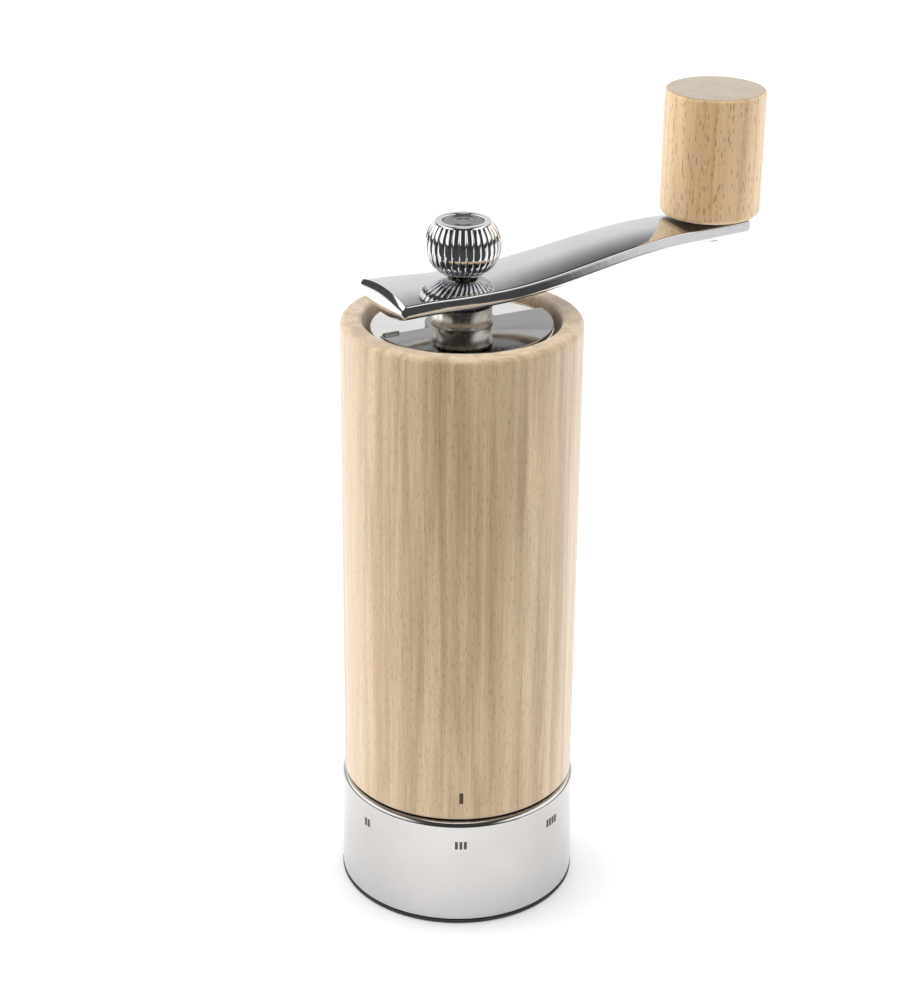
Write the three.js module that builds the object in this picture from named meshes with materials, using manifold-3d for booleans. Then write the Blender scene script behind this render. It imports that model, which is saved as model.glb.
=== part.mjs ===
// Manual burr coffee mill: a turned beech body, a steel setting ring at its foot and a crank on top.
// Millimetres, +Z up. The origin is on the mill's axis, on the plane that the foot stands on.
// The body's pointer mark faces -Y, and the setting ring stands at setting III of six.
import * as THREE from "three";
import { mergeVertices } from "three/addons/utils/BufferGeometryUtils.js";
import Module from "manifold-3d";

const wasm = await Module();
wasm.setup();

// ---- Driving dimensions ----

const GAP = 0.3; // between pieces that touch
const FINE = 36; // sides of the large round pieces
const COARSE = 22; // sides of the small and inner ones

// Wooden body
const BODY_R = 30;
const BODY_BOTTOM = 30.8;
const BODY_TOP = 156.4;
const CHAMBER_R = 23.5;
const MOUTH_R = 24.5;
const MOUTH_FLOOR = 148.9;
const SHOULDER_BOTTOM = 41;
const SHOULDER_TOP = 47.5;
const THROAT_R = 16.4;

// Setting ring and foot
const RING_R = 30.7;
const RING_WALL = 1;
const RING_TOP = 29.6;
const FOOT_H = 1;
const NOTCHES = 7; // click positions round the ring: six settings and an unused one
const SETTING_LIFT = 0.5; // how far one setting lifts the grinding cone
const THREAD_PITCH = SETTING_LIFT * NOTCHES;
const THREAD_TOP = 9.9; // height of the setting thread's first ridge
const RIDGE_H = 1.4;

// Burr set
const BURR_TEETH = 16;
const STATOR_R = 16.5;
const STATOR_BOTTOM = 17;
const STATOR_TOP = 36.1;
const ROTOR_BOTTOM = 15;
const ROTOR_TOP = 34;
const FINE_TOP = 23; // above this height the teeth are coarse

// Lower bridge
const BRIDGE_ARMS = 3;
const BRIDGE_AZIMUTH = 90; // degrees, of its first arm
const ARM_BOTTOM = 4.1;
const ARM_TOP = 7.9;
const TOOTH_Z = 6; // middle of the three arms' teeth
const SPIGOT_R = 26.9;
const SPIGOT_INNER_R = 24.9;

// Shaft
const SHAFT_END = 1;
const SQUARE = 6; // side of the square shaft
const JOURNAL_R = 4.4;
const SPRING_TOP = 57.5;

// Cover, shutter and hub
const COVER_R = 22.8;
const COVER_TOP = 154.4;
const SHEET = 0.8; // thickness of the cover's steel
const SHUTTER_TOP = 155.4;
const HUB_BOTTOM = 155.7;
const HUB_TOP = 160.2;

// Crank
const CRANK_AZIMUTH = THREE.MathUtils.degToRad(28.73);
const ARM_TAIL = -21.5; // where the arm starts, behind the shaft
const ARM_REACH = 79;
const KNOB_AT = 71.5; // crank radius
const ARM_EDGE = 3.35; // height of the arm's side face
const ARM_RISE = 5.9;
const ARM_Z = 165.6; // height of its top edge at the shaft
const KNOB_R = 12.8;
const KNOB_BOTTOM = 173.3;
const KNOB_TOP = 205.2;
const SPINDLE_R = 3;
const SPINDLE_TOP = 194;

// Finial nut
const BALL_R = 9.3;
const BALL_Z = 176;
const BALL_NECK_R = 3.9;
const BALL_FLUTES = 30;
const FLUTE_DEPTH = 0.35;
const FINIAL_BOTTOM = 167.4;
const FINIAL_TOP = 182.3;

const TURN = 2 * Math.PI;
const rad = THREE.MathUtils.degToRad;

// ---- Materials ----

function finish(color, roughness, metalness) {
  return new THREE.MeshStandardMaterial({ color, roughness, metalness });
}

const beech = finish(0xd8b993, 0.55, 0);
const polishedSteel = finish(0xe4e1dc, 0.12, 1);
const chrome = finish(0xd2d4d6, 0.05, 1);
const satinNickel = finish(0xd9d0c4, 0.2, 1);
const burrSteel = finish(0x77777a, 0.4, 1);
const zinc = finish(0xa9a9aa, 0.45, 1);
const brass = finish(0xc9a558, 0.3, 1);
const blackPlastic = finish(0x1d1d1f, 0.5, 0);
const blackRubber = finish(0x2b2b2c, 0.8, 0);

// ---- Geometry helpers ----

function piece(name, geometry, material) {
  const mesh = new THREE.Mesh(geometry, material);
  mesh.name = name;
  return mesh;
}

// A closed geometry as a solid that can be joined and cut.
function solid(geometry) {
  const bare = geometry.clone();
  bare.deleteAttribute("normal");
  bare.deleteAttribute("uv");
  const merged = mergeVertices(bare, 1e-4);
  return new wasm.Manifold(
    new wasm.Mesh({
      numProp: 3,
      vertProperties: new Float32Array(merged.attributes.position.array),
      triVerts: new Uint32Array(merged.index.array),
    }),
  );
}

function geometryOf(made) {
  const mesh = made.getMesh();
  const geometry = new THREE.BufferGeometry();
  const corners = new THREE.BufferAttribute(mesh.vertProperties, 3);
  geometry.setAttribute("position", corners);
  geometry.setIndex(new THREE.BufferAttribute(mesh.triVerts, 1));
  return geometry.toNonIndexed();
}

function cut(geometry, ...tools) {
  const cutAway = (rest, tool) => rest.subtract(solid(tool));
  return geometryOf(tools.reduce(cutAway, solid(geometry)));
}

function join(...geometries) {
  const addOn = (sum, made) => sum.add(made);
  return geometryOf(geometries.map(solid).reduce(addOn));
}

// Turns a closed (radius, height) outline, listed upwards on the outside, about Z.
function turned(outline, sides = COARSE) {
  const points = outline.map(([r, z]) => new THREE.Vector2(r, z));
  points.push(points[0].clone());
  return new THREE.LatheGeometry(points, sides).rotateX(Math.PI / 2);
}

function tubeBetween(innerR, outerR, bottom, top, sides = COARSE) {
  const outline = [
    [innerR, bottom],
    [outerR, bottom],
    [outerR, top],
    [innerR, top],
  ];
  return turned(outline, sides);
}

function discBetween(r, bottom, top, sides = COARSE) {
  const height = top - bottom;
  const disc = new THREE.CylinderGeometry(r, r, height, sides);
  return disc.rotateX(Math.PI / 2).translate(0, 0, bottom + height / 2);
}

function block(x, y, bottom, top) {
  const height = top - bottom;
  const box = new THREE.BoxGeometry(x, y, height);
  return box.translate(0, 0, bottom + height / 2);
}

// A quarter round between two (radius, height) points, about a centre.
function fillet(centreR, centreZ, r, fromDegrees, toDegrees, steps = 3) {
  const at = (i) => rad(THREE.MathUtils.lerp(fromDegrees, toDegrees, i / steps));
  const point = (_, i) => [
    centreR + r * Math.cos(at(i)),
    centreZ + r * Math.sin(at(i)),
  ];
  return Array.from({ length: steps + 1 }, point);
}

function extruded(shape, bottom, top, steps = 1, curveSegments = 12) {
  const depth = top - bottom;
  const options = { depth, steps, bevelEnabled: false, curveSegments };
  return new THREE.ExtrudeGeometry(shape, options).translate(0, 0, bottom);
}

// Moves every vertex by a rule.
function reshape(geometry, rule) {
  const position = geometry.attributes.position;
  const v = new THREE.Vector3();
  for (let i = 0; i < position.count; i++) {
    rule(v.fromBufferAttribute(position, i));
    position.setXYZ(i, v.x, v.y, v.z);
  }
  return geometry;
}

// Height profile through (z, value) knots, straight between them.
function along(knots, z) {
  const next = Math.max(1, knots.findIndex(([height]) => height >= z));
  const [z0, value0] = knots[next - 1];
  const [z1, value1] = knots[next];
  return THREE.MathUtils.mapLinear(z, z0, z1, value0, value1);
}

// Azimuth of the bridge's arms, in degrees.
function bridgeAzimuth(k) {
  return BRIDGE_AZIMUTH + (360 / BRIDGE_ARMS) * k;
}

function eachThird(make) {
  return Array.from({ length: BRIDGE_ARMS }, (_, k) => make(k));
}

// ---- Wooden body ----

const SCREW_AT_R = 20.6;
const SCREW_AZIMUTHS = [30, 150, 270];
const SCREW_SHANK_R = 1.2;
const SCREW_HEAD_R = 2.1;
const SCREW_TIP = 48;

function atScrew(geometry, azimuth) {
  return geometry.translate(SCREW_AT_R, 0, 0).rotateZ(rad(azimuth));
}

function makeWoodBody() {
  const outline = [
    [MOUTH_R, BODY_BOTTOM],
    [BODY_R - 1, BODY_BOTTOM],
    [BODY_R, BODY_BOTTOM + 1],
    ...fillet(BODY_R - 1.5, BODY_TOP - 1.5, 1.5, 0, 90, 2),
    [MOUTH_R + 0.8, BODY_TOP],
    [MOUTH_R, BODY_TOP - 0.8],
    [MOUTH_R, MOUTH_FLOOR],
    [CHAMBER_R, MOUTH_FLOOR],
    [CHAMBER_R, SHOULDER_TOP + 6],
    [THROAT_R + 1.4, SHOULDER_TOP],
    [THROAT_R + 1.4, SHOULDER_BOTTOM],
    [MOUTH_R, SHOULDER_BOTTOM],
  ];
  const pilot = (azimuth) =>
    atScrew(discBetween(1.5, SHOULDER_BOTTOM - 1, SCREW_TIP + GAP, 8), azimuth);
  return cut(turned(outline, FINE), ...SCREW_AZIMUTHS.map(pilot));
}

// ---- Burr housing, pressed into the body's foot ----

const POCKET_INNER_R = STATOR_R + GAP;
const POCKET_OUTER_R = POCKET_INNER_R + 1.4;
const POCKET_BOTTOM = 15;
const PLATE_BOTTOM = 37.7;
const CLIP_GROOVE_Z = 18.1;
const FLANGE_R = 29.1;

function makeBurrHousing() {
  const outline = [
    [SPIGOT_INNER_R, 4.5],
    [SPIGOT_R, 4.5],
    [SPIGOT_R, CLIP_GROOVE_Z],
    [SPIGOT_R - 0.7, CLIP_GROOVE_Z],
    [SPIGOT_R - 0.7, CLIP_GROOVE_Z + 1.6],
    [SPIGOT_R, CLIP_GROOVE_Z + 1.6],
    [SPIGOT_R, RING_TOP + GAP],
    [FLANGE_R, RING_TOP + GAP],
    [FLANGE_R, BODY_BOTTOM - GAP],
    [MOUTH_R - GAP, BODY_BOTTOM - GAP],
    [MOUTH_R - GAP, SHOULDER_BOTTOM - GAP],
    [THROAT_R, SHOULDER_BOTTOM - GAP],
    [THROAT_R - 1.4, STATOR_TOP + GAP],
    [POCKET_INNER_R, STATOR_TOP + GAP],
    [POCKET_INNER_R, POCKET_BOTTOM + 1.9],
    [POCKET_INNER_R + 0.6, POCKET_BOTTOM + 1.9],
    [POCKET_INNER_R + 0.6, POCKET_BOTTOM + 0.4],
    [POCKET_INNER_R, POCKET_BOTTOM + 0.4],
    [POCKET_INNER_R, POCKET_BOTTOM],
    [POCKET_OUTER_R, POCKET_BOTTOM],
    [POCKET_OUTER_R, PLATE_BOTTOM],
    [MOUTH_R - 1.6, PLATE_BOTTOM],
    [MOUTH_R - 1.6, BODY_BOTTOM],
    [SPIGOT_INNER_R, BODY_BOTTOM - 2],
  ];
  const armSlot = (k) =>
    block(6, 6.6, 4, 9.4).translate(26, 0, 0).rotateZ(rad(bridgeAzimuth(k)));
  const screwHole = (azimuth) =>
    atScrew(discBetween(1.5, PLATE_BOTTOM - 1, SHOULDER_BOTTOM, 8), azimuth);
  const clickWindow = block(13, 6, 21, 25).translate(0, -26, 0);
  const body = turned(outline, FINE);
  return cut(body, ...eachThird(armSlot), ...SCREW_AZIMUTHS.map(screwHole), clickWindow);
}

function makeHousingScrew(azimuth) {
  const headTop = PLATE_BOTTOM - GAP;
  const head = discBetween(SCREW_HEAD_R, headTop - 1.8, headTop, 12);
  const shank = discBetween(SCREW_SHANK_R, headTop - 0.5, SCREW_TIP, 8);
  const slot = block(5, 0.8, headTop - 2.4, headTop - 1.1);
  return atScrew(cut(join(head, shank), slot), azimuth);
}

// Bent spring strip in the housing's window: its nose clicks over the ring's notches.
function makeClickSpring() {
  const strip = new THREE.Shape();
  strip.moveTo(-5.8, -26);
  strip.lineTo(-1.6, -26.2);
  strip.lineTo(0, -27);
  strip.lineTo(1.6, -26.2);
  strip.lineTo(5.8, -26);
  strip.lineTo(5.8, -25.6);
  strip.lineTo(1.4, -25.8);
  strip.lineTo(0, -26.5);
  strip.lineTo(-1.4, -25.8);
  strip.lineTo(-5.8, -25.6);
  return extruded(strip, 21.4, 24.6);
}

// Split wire ring that keeps the setting ring on the housing.
function makeRingClip() {
  const clip = tubeBetween(SPIGOT_R - 0.5, 27.9, CLIP_GROOVE_Z + GAP, CLIP_GROOVE_Z + 1.3, FINE);
  const split = block(4, 8, CLIP_GROOVE_Z, CLIP_GROOVE_Z + 2).translate(0, 27, 0);
  return cut(clip, split);
}

// ---- Burrs ----

// Radii of the teeth's tips and roots against height.
const STATOR_TIPS = [
  [STATOR_BOTTOM, 13.2],
  [FINE_TOP, 12.35],
  [STATOR_TOP, 14.1],
];
const STATOR_ROOTS = [
  [STATOR_BOTTOM, 13.9],
  [FINE_TOP, 13.7],
  [STATOR_TOP, 15.4],
];
const ROTOR_TIPS = [
  [ROTOR_BOTTOM, 12.55],
  [FINE_TOP, 11.5],
  [ROTOR_TOP, 7.6],
];
const ROTOR_ROOTS = [
  [ROTOR_BOTTOM, 11.9],
  [FINE_TOP, 10.2],
  [ROTOR_TOP, 6.2],
];
// Radii that mark a tooth's foot, its tip and the stator's plain outside in the unit outline.
const ROOT = 1;
const TIP = 2;
const RIM = 3;
const HELIX = 0.022; // radians that the teeth turn for each millimetre of height

function toothedPath(path, teeth) {
  const step = TURN / teeth;
  const corner = (r, angle) => [r * Math.cos(angle), r * Math.sin(angle)];
  for (let i = 0; i < teeth; i++) {
    const start = i * step;
    if (i === 0) path.moveTo(...corner(ROOT, start));
    else path.lineTo(...corner(ROOT, start));
    path.lineTo(...corner(ROOT, start + 0.45 * step));
    path.lineTo(...corner(TIP, start + 0.8 * step));
  }
  path.closePath();
  return path;
}

// Opens the unit outline out to the real radii, height by height.
function toBurr(geometry, innerKnots, outerKnots, rim) {
  return reshape(geometry, (v) => {
    const r = Math.round(Math.hypot(v.x, v.y));
    const knots = r === ROOT ? innerKnots : outerKnots;
    const wanted = r === RIM ? rim : along(knots, v.z);
    const angle = Math.atan2(v.y, v.x) + (r === RIM ? 0 : HELIX * v.z);
    v.x = wanted * Math.cos(angle);
    v.y = wanted * Math.sin(angle);
  });
}

function burrBlank(shape, bottom, top) {
  const lower = extruded(shape, bottom, FINE_TOP, 1);
  const upper = extruded(shape, FINE_TOP, top, 2);
  return [lower, upper];
}

function makeStator() {
  const shape = new THREE.Shape();
  const sides = BURR_TEETH * 3;
  const rimPoint = (_, i) =>
    new THREE.Vector2(RIM, 0).rotateAround(new THREE.Vector2(), (TURN * i) / sides);
  shape.setFromPoints(Array.from({ length: sides }, rimPoint));
  shape.holes.push(toothedPath(new THREE.Path(), BURR_TEETH));
  const parts = burrBlank(shape, STATOR_BOTTOM, STATOR_TOP);
  return join(...parts.map((g) => toBurr(g, STATOR_TIPS, STATOR_ROOTS, STATOR_R)));
}

function makeRotor() {
  const shape = toothedPath(new THREE.Shape(), BURR_TEETH);
  const parts = burrBlank(shape, ROTOR_BOTTOM, ROTOR_TOP);
  const cone = join(...parts.map((g) => toBurr(g, ROTOR_ROOTS, ROTOR_TIPS)));
  const boss = discBetween(6, 11.5, ROTOR_BOTTOM + 1);
  const hole = block(SQUARE + 2 * GAP, SQUARE + 2 * GAP, 10, ROTOR_TOP + 1);
  return cut(join(cone, boss), hole);
}

function makeStatorClip() {
  const bottom = POCKET_BOTTOM + 0.65;
  const clip = tubeBetween(14.6, POCKET_INNER_R + 0.35, bottom, bottom + 1);
  return cut(clip, block(8, 3, POCKET_BOTTOM, POCKET_BOTTOM + 3).translate(16, 0, 0));
}

// ---- Setting ring: steel sleeve, threaded liner and foot ----

function makeGrindRing() {
  const inner = RING_R - RING_WALL;
  const outline = [
    [inner, FOOT_H + GAP],
    [RING_R, FOOT_H + GAP],
    ...fillet(RING_R - 1.5, RING_TOP - 1.5, 1.5, 0, 90, 2),
    [SPIGOT_R + 0.4, RING_TOP],
    [SPIGOT_R + 0.4, RING_TOP - 0.8],
    [inner, RING_TOP - 0.8],
  ];
  return turned(outline, FINE);
}

const LINER_R = RING_R - RING_WALL - GAP;
const LINER_INNER_R = LINER_R - 1;
const RIDGE_R = SPIGOT_R + GAP;

// The setting thread's ridge: a square section led round the liner, falling as its azimuth grows.
function makeRidge() {
  const turns = 2;
  const stepsPerTurn = 24;
  const section = new THREE.Shape();
  section.moveTo(RIDGE_R, -RIDGE_H / 2);
  section.lineTo(LINER_INNER_R + 0.4, -RIDGE_H / 2);
  section.lineTo(LINER_INNER_R + 0.4, RIDGE_H / 2);
  section.lineTo(RIDGE_R, RIDGE_H / 2);
  const straight = extruded(section, 0, turns, turns * stepsPerTurn);
  const midArm = bridgeAzimuth(1);
  const start = midArm - ((THREAD_TOP - TOOTH_Z - THREAD_PITCH / 2) * 360) / THREAD_PITCH;
  return reshape(straight, (v) => {
    const turned = turns - v.z;
    const azimuth = rad(start + 360 * turned);
    v.z = THREAD_TOP + v.y - THREAD_PITCH * turned;
    v.y = v.x * Math.sin(azimuth);
    v.x *= Math.cos(azimuth);
  });
}

function makeThreadRing() {
  const outline = [
    [LINER_INNER_R, FOOT_H + 0.9],
    [LINER_R, FOOT_H + 0.9],
    [LINER_R, 26.2],
    [LINER_INNER_R, 26.2],
    [LINER_INNER_R, 24.4],
    [RIDGE_R, 24.4],
    [RIDGE_R, CLIP_GROOVE_Z + 1.6],
    [LINER_INNER_R, CLIP_GROOVE_Z + 1.6],
  ];
  const notch = (_, i) =>
    discBetween(1, 20.6, 25, 4)
      .translate(RIDGE_R + 0.2, 0, 0)
      .rotateZ(rad(270) + (TURN * i) / NOTCHES);
  const notches = Array.from({ length: NOTCHES }, notch);
  return cut(join(turned(outline, FINE), makeRidge()), ...notches);
}

function makeFootRim() {
  const outline = [
    [27.8, 0],
    [RING_R - 0.3, 0],
    [RING_R + 0.1, 0.4],
    [RING_R + 0.1, FOOT_H],
    [LINER_R, FOOT_H],
    [LINER_R, FOOT_H + 0.6],
    [27.8, FOOT_H + 0.6],
  ];
  return turned(outline, FINE);
}

// ---- Lower bridge: three arms that ride in the ring's thread and carry the shaft's foot ----

const BUSH_R = 4.6;

function makeBridge() {
  const hub = discBetween(6.6, 3, 9.4);
  const arm = (k) => {
    const azimuth = bridgeAzimuth(k);
    const toothZ = TOOTH_Z + ((bridgeAzimuth(1) - azimuth) * THREAD_PITCH) / 360;
    const length = SPIGOT_R - 0.4;
    const beam = block(length, 6, ARM_BOTTOM, ARM_TOP).translate(length / 2, 0, 0);
    const tooth = block(3, 6, toothZ - RIDGE_H / 2, toothZ + RIDGE_H / 2).translate(26.5, 0, 0);
    return join(beam, tooth).rotateZ(rad(azimuth));
  };
  return cut(join(hub, ...eachThird(arm)), discBetween(BUSH_R + 0.15, 2, 12));
}

function makeBridgeBush() {
  return tubeBetween(SQUARE / 2 + 0.15, BUSH_R, 3, 9.7);
}

function makeThrustWasher() {
  return tubeBetween(SQUARE / 2 + 0.15, 6.2, 10, 11.2);
}

// ---- Shaft and what is on it ----

function makeShaft() {
  const half = SQUARE / 2;
  const foot = discBetween(half, SHAFT_END, 14, 20);
  const square = block(SQUARE, SQUARE, 13, 151);
  const journal = discBetween(JOURNAL_R, 150, SHUTTER_TOP - 0.1);
  const driver = block(SQUARE, SQUARE, 155, ARM_Z + 1.1);
  const thread = discBetween(2.5, ARM_Z, 174.4, 16);
  const groove = tubeBetween(JOURNAL_R - 0.6, JOURNAL_R + 1, 150.6, 151.8);
  return cut(join(foot, square, journal, driver, thread), groove);
}

function makeShaftClip() {
  const clip = tubeBetween(JOURNAL_R - 0.4, 6.4, 150.8, 151.6);
  return cut(clip, block(6, 3, 150, 153).translate(6, 0, 0));
}

function makeSpringSeat() {
  const disc = discBetween(7.2, SPRING_TOP + GAP, SPRING_TOP + 1.6);
  return cut(disc, block(SQUARE + 0.3, SQUARE + 0.3, SPRING_TOP, SPRING_TOP + 3));
}

class Helix extends THREE.Curve {
  constructor(r, bottom, top, turns) {
    super();
    Object.assign(this, { r, bottom, top, turns });
  }
  getPoint(t, target = new THREE.Vector3()) {
    const angle = TURN * this.turns * t;
    const z = THREE.MathUtils.lerp(this.bottom, this.top, t);
    return target.set(this.r * Math.cos(angle), this.r * Math.sin(angle), z);
  }
}

function makeBurrSpring() {
  const wireR = 0.55;
  const turns = 5;
  const wire = new THREE.Shape().absarc(0, 0, wireR, 0, TURN);
  const bottom = ROTOR_TOP + wireR + 0.2;
  const extrudePath = new Helix(5.7, bottom, SPRING_TOP - wireR - 0.1, turns);
  const options = { steps: turns * 10, curveSegments: 2, extrudePath, bevelEnabled: false };
  return new THREE.ExtrudeGeometry(wire, options);
}

// ---- Cover, bearing and filling shutter ----

const BEARING_R = 6.6;

// Half a ring, on the side of the crank's line that faces the pointer mark.
function halfRing(innerR, outerR, bottom, top, margin = 0) {
  const shape = new THREE.Shape();
  shape.absarc(0, 0, outerR, rad(180 + margin), rad(360 - margin));
  shape.absarc(0, 0, innerR, rad(360 - margin), rad(180 + margin), true);
  return extruded(shape, bottom, top, 1, 16);
}

function makeCoverPlate() {
  const skirtBottom = MOUTH_FLOOR + GAP;
  const outline = [
    [COVER_R - SHEET, skirtBottom],
    [MOUTH_R - GAP, skirtBottom],
    [MOUTH_R - GAP, skirtBottom + SHEET],
    [COVER_R, skirtBottom + SHEET],
    [COVER_R, COVER_TOP - 0.6],
    [COVER_R - 0.6, COVER_TOP],
    [BEARING_R + GAP, COVER_TOP],
    [BEARING_R + GAP, COVER_TOP - SHEET],
    [COVER_R - SHEET, COVER_TOP - SHEET],
  ];
  const opening = halfRing(9.8, 20.6, COVER_TOP - 2, COVER_TOP + 1, 6);
  return cut(turned(outline, FINE), opening);
}

function makeShutter() {
  const bottom = SHUTTER_TOP - 0.7;
  const leaf = halfRing(4, COVER_R, bottom, SHUTTER_TOP);
  const collar = discBetween(9.2, bottom, SHUTTER_TOP);
  const tab = block(1, 4.5, SHUTTER_TOP - 0.4, SHUTTER_TOP + 1.3).rotateZ(Math.PI / 2);
  const tabAtEnd = tab.translate(3 - COVER_R, -0.5, 0);
  const hole = discBetween(BEARING_R + GAP, bottom - 1, SHUTTER_TOP + 1);
  return cut(join(leaf, collar, tabAtEnd), hole);
}

function makeUpperBearing() {
  const flangeTop = COVER_TOP - SHEET - GAP;
  const outline = [
    [JOURNAL_R + 0.15, flangeTop - 1.4],
    [9, flangeTop - 1.4],
    [9, flangeTop],
    [BEARING_R, flangeTop],
    [BEARING_R, SHUTTER_TOP],
    [JOURNAL_R + 0.15, SHUTTER_TOP],
  ];
  return turned(outline);
}

// ---- Crank ----

function makeHub() {
  const outline = [
    [3, HUB_BOTTOM],
    [7.6, HUB_BOTTOM],
    [7.9, HUB_BOTTOM + 0.5],
    [7.6, HUB_BOTTOM + 1],
    [7.35, HUB_BOTTOM + 1.5],
    [7.4, HUB_BOTTOM + 2.8],
    [7.8, HUB_BOTTOM + 3.8],
    [8.4, HUB_TOP],
    [3, HUB_TOP],
  ];
  const bore = block(SQUARE + 0.3, SQUARE + 0.3, HUB_BOTTOM - 1, HUB_TOP + 1);
  return cut(turned(outline), discBetween(4, HUB_BOTTOM - 1, HUB_BOTTOM + 0.2), bore);
}

// Width, crown and belly of the arm against the distance from the shaft.
const armWidth = (s) => 21.3 - 0.08 * s;
const armCrown = (s) => 1.5 - 0.004 * Math.max(s, 0);
const armBelly = (s) => 1.7 - 0.009 * s;

function armTopEdge(s) {
  const tail = 0.5 * THREE.MathUtils.smoothstep(-s, 2, 16);
  return ARM_Z + tail + ARM_RISE * THREE.MathUtils.smoothstep(s, 4, 60);
}

// The arm's section in a unit outline: x runs from -1 to 1 across it, and y is 0 to 1 over its crown,
// 0 to -1 down its side face and -1 to -2 over its belly.
function armSection() {
  const sides = 6;
  const across = Array.from({ length: sides + 1 }, (_, i) => -1 + (2 * i) / sides);
  const belly = across.map((x) => new THREE.Vector2(x, -1 - (1 - x * x)));
  const crown = across.map((x) => new THREE.Vector2(-x, 1 - x * x));
  return new THREE.Shape([...belly, ...crown]);
}

function makeArm() {
  const length = ARM_REACH - ARM_TAIL;
  const bar = extruded(armSection(), 0, length, 14);
  reshape(bar, (v) => {
    const s = ARM_TAIL + v.z;
    const across = v.x;
    const crown = armCrown(s) * Math.max(v.y, 0);
    const side = ARM_EDGE * THREE.MathUtils.clamp(v.y, -1, 0);
    const belly = armBelly(s) * Math.min(v.y + 1, 0);
    v.set(s, (across * armWidth(s)) / 2, armTopEdge(s) + crown + side + belly);
  });
  const square = block(SQUARE + 0.3, SQUARE + 0.3, 150, 180);
  const hole = discBetween(SPINDLE_R + 0.2, 150, 180, 16).translate(KNOB_AT, 0, 0);
  return cut(bar, square, hole);
}

function makeSpindle() {
  const underArm = armTopEdge(KNOB_AT) - ARM_EDGE - armBelly(KNOB_AT) - GAP;
  const outline = [
    [0, underArm - 1.6],
    [1.8, underArm - 1.4],
    [3.4, underArm - 0.8],
    [4, underArm],
    [SPINDLE_R, underArm],
    [SPINDLE_R, SPINDLE_TOP - 2.2],
    [SPINDLE_R - 0.6, SPINDLE_TOP - 2.2],
    [SPINDLE_R - 0.6, SPINDLE_TOP - 1],
    [SPINDLE_R, SPINDLE_TOP - 1],
    [SPINDLE_R, SPINDLE_TOP - 0.4],
    [SPINDLE_R - 0.4, SPINDLE_TOP],
    [0, SPINDLE_TOP],
  ];
  return turned(outline, 20);
}

function makeKnob() {
  const boreR = 5.3;
  const boreTop = SPINDLE_TOP + 2;
  const outline = [
    [boreR, KNOB_BOTTOM],
    ...fillet(KNOB_R - 1.5, KNOB_BOTTOM + 1.5, 1.5, -90, 0, 2),
    ...fillet(KNOB_R - 0.9, KNOB_TOP - 0.9, 0.9, 0, 90, 2),
    [0, KNOB_TOP],
    [0, boreTop],
    [boreR, boreTop],
  ];
  return turned(outline, FINE);
}

function makeKnobBush() {
  return tubeBetween(SPINDLE_R + 0.15, 5, KNOB_BOTTOM + 0.2, SPINDLE_TOP - 4);
}

function makeKnobWasher() {
  return tubeBetween(SPINDLE_R + 0.15, 6, KNOB_BOTTOM - 0.4, KNOB_BOTTOM - 0.1);
}

function makeKnobClip() {
  return tubeBetween(SPINDLE_R - 0.4, 4.6, SPINDLE_TOP - 2, SPINDLE_TOP - 1.2);
}

// ---- Finial nut ----

function makeInsert() {
  return tubeBetween(2.65, 3.2, FINIAL_BOTTOM + 0.2, 175);
}

function makeBadge() {
  return discBetween(5.2, FINIAL_TOP - 1, FINIAL_TOP - 0.3);
}

function makeBall() {
  const boreR = 3.5;
  const wall = fillet(0, BALL_Z, BALL_R, -64, 42, 5);
  const outline = [
    [boreR, FINIAL_BOTTOM],
    [BALL_NECK_R, FINIAL_BOTTOM],
    ...wall,
    [6.6, FINIAL_TOP],
    [5.5, FINIAL_TOP],
    [5.5, FINIAL_TOP - 1.3],
    [0, FINIAL_TOP - 1.3],
    [0, 176],
    [boreR, 176],
  ];
  const blank = turned(outline, 2 * BALL_FLUTES);
  return reshape(blank, (v) => {
    const r = Math.hypot(v.x, v.y);
    const inFlutes = r > 7 || (r > BALL_NECK_R + 0.1 && v.z < BALL_Z);
    const meridian = Math.round((Math.atan2(v.y, v.x) * BALL_FLUTES) / Math.PI);
    if (!inFlutes || meridian % 2 === 0) return;
    v.x *= 1 - FLUTE_DEPTH / r;
    v.y *= 1 - FLUTE_DEPTH / r;
  });
}

// ---- The assembly ----

const mill = new THREE.Group();

const body = new THREE.Group();
body.add(piece("wood_body", makeWoodBody(), beech));
body.add(piece("burr_housing", makeBurrHousing(), blackPlastic));
body.add(piece("stator_burr", makeStator(), burrSteel));
body.add(piece("stator_clip", makeStatorClip(), burrSteel));
body.add(piece("click_spring", makeClickSpring(), burrSteel));
body.add(piece("ring_clip", makeRingClip(), burrSteel));
SCREW_AZIMUTHS.forEach((azimuth, i) => {
  body.add(piece(`housing_screw_${i + 1}`, makeHousingScrew(azimuth), zinc));
});
body.add(piece("upper_bearing", makeUpperBearing(), satinNickel));
mill.add(body);

const cover = new THREE.Group();
cover.add(piece("cover_plate", makeCoverPlate(), polishedSteel));
cover.add(piece("fill_shutter", makeShutter(), polishedSteel));
cover.rotation.z = CRANK_AZIMUTH;
mill.add(cover);

const ring = new THREE.Group();
ring.add(piece("grind_ring", makeGrindRing(), polishedSteel));
ring.add(piece("thread_ring", makeThreadRing(), blackPlastic));
ring.add(piece("foot_rim", makeFootRim(), blackRubber));
mill.add(ring);

const bridge = new THREE.Group();
bridge.add(piece("lower_bridge", makeBridge(), zinc));
bridge.add(piece("bridge_bush", makeBridgeBush(), brass));
bridge.add(piece("thrust_washer", makeThrustWasher(), burrSteel));
mill.add(bridge);

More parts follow.
